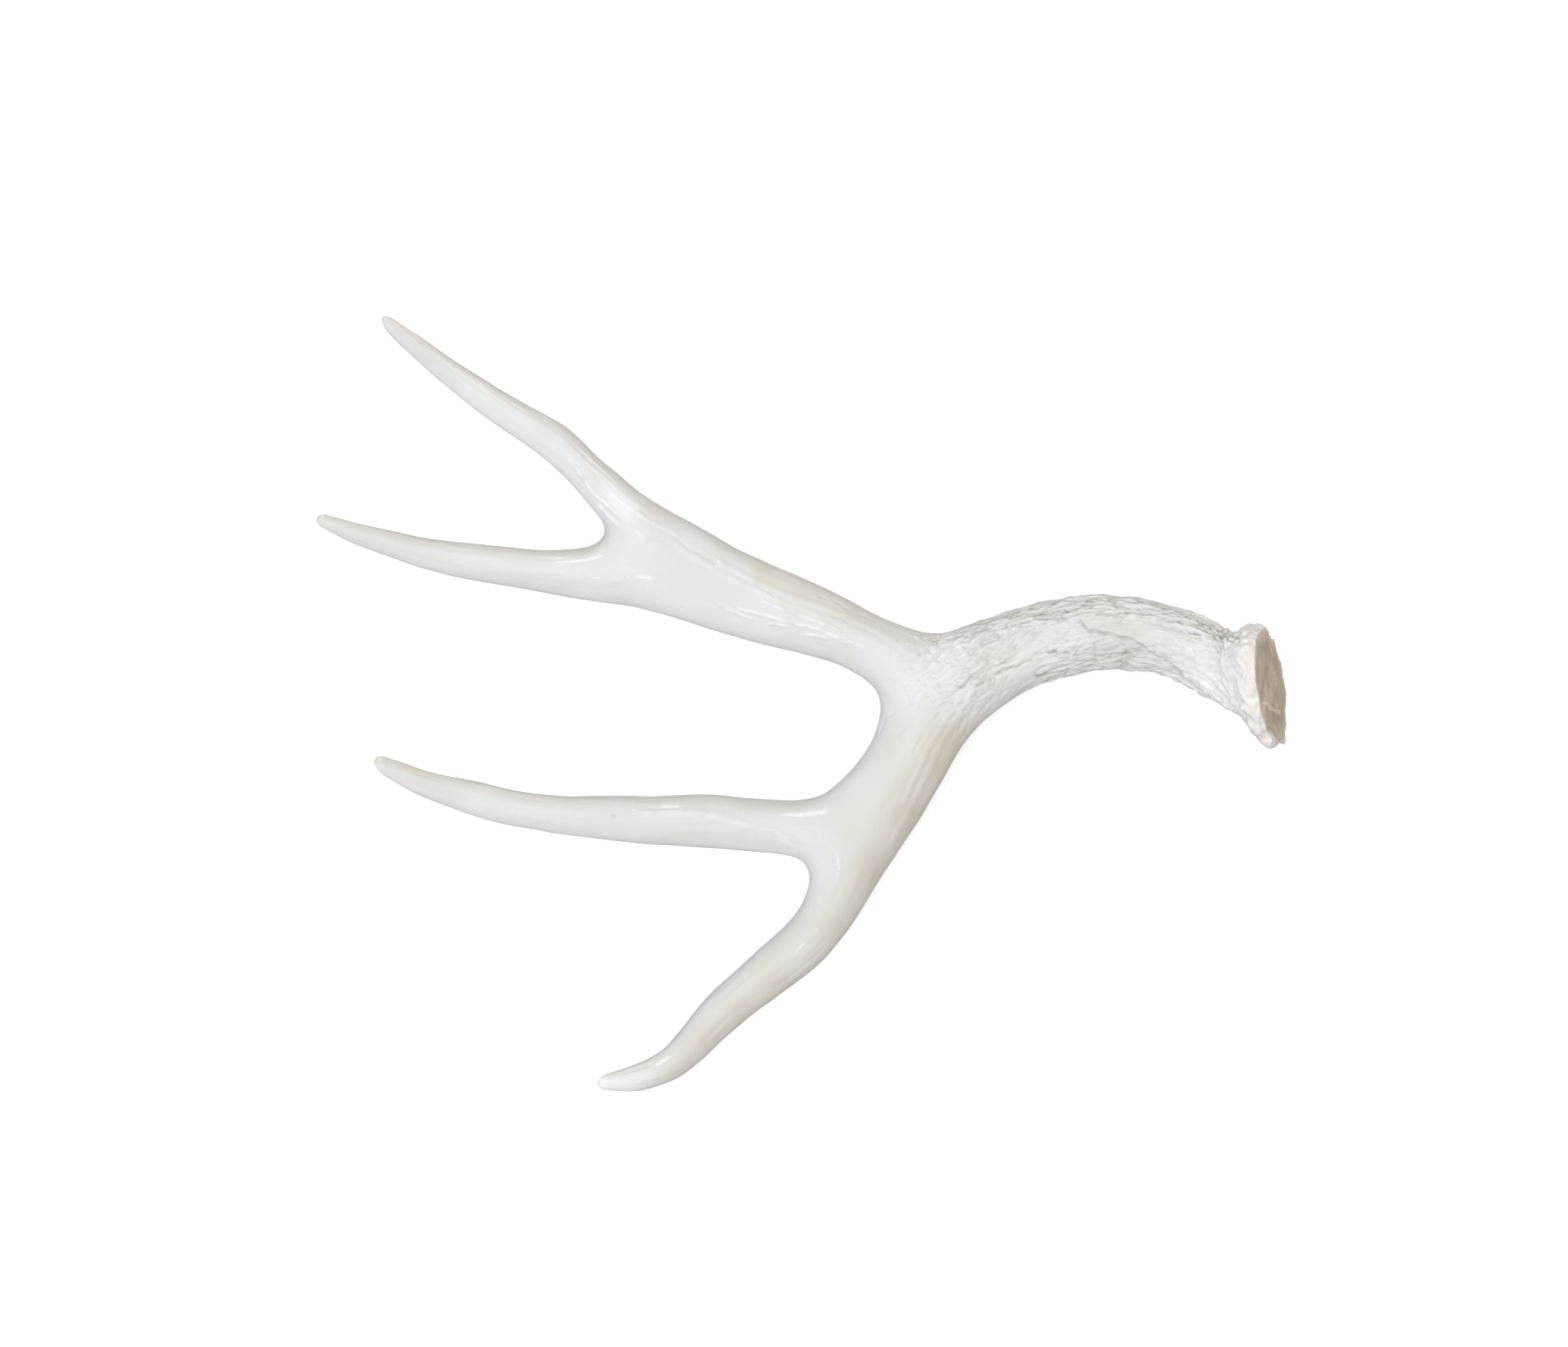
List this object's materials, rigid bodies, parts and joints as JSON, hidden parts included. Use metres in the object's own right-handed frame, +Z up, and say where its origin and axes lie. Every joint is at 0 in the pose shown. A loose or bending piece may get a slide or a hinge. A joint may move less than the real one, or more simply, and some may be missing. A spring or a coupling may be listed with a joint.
{
  "type": "deer antler",
  "caption": "Bleached, glossy white deer antler: thick ridged beam with a knobbly burr and flat seal face, forked into two branches that fork again into tapering, upswept points.",
  "frame": {"origin": "under the middle of the antler's box, on the surface it lies on", "axes": "+X along the antler towards the burr, +Y towards the rear upper point, +Z up; it lies with its hollow side up"},
  "size_m": [0.4454, 0.3542, 0.0688],
  "materials": {
    "lacquered_bone": "bleached bone, glossy clear lacquer, warm shadows in the cracks",
    "burr_bone": "ridged bleached bone under gloss lacquer, with a bare tan seal face at the burr"
  },
  "bodies": {
    "root": {"main_beam": "burr_bone", "rear_branch": "lacquered_bone", "rear_upper_tine": "lacquered_bone", "rear_lower_tine": "lacquered_bone", "front_branch": "lacquered_bone", "front_upper_tine": "lacquered_bone", "front_lower_tine": "lacquered_bone"}
  },
  "joints": []
}
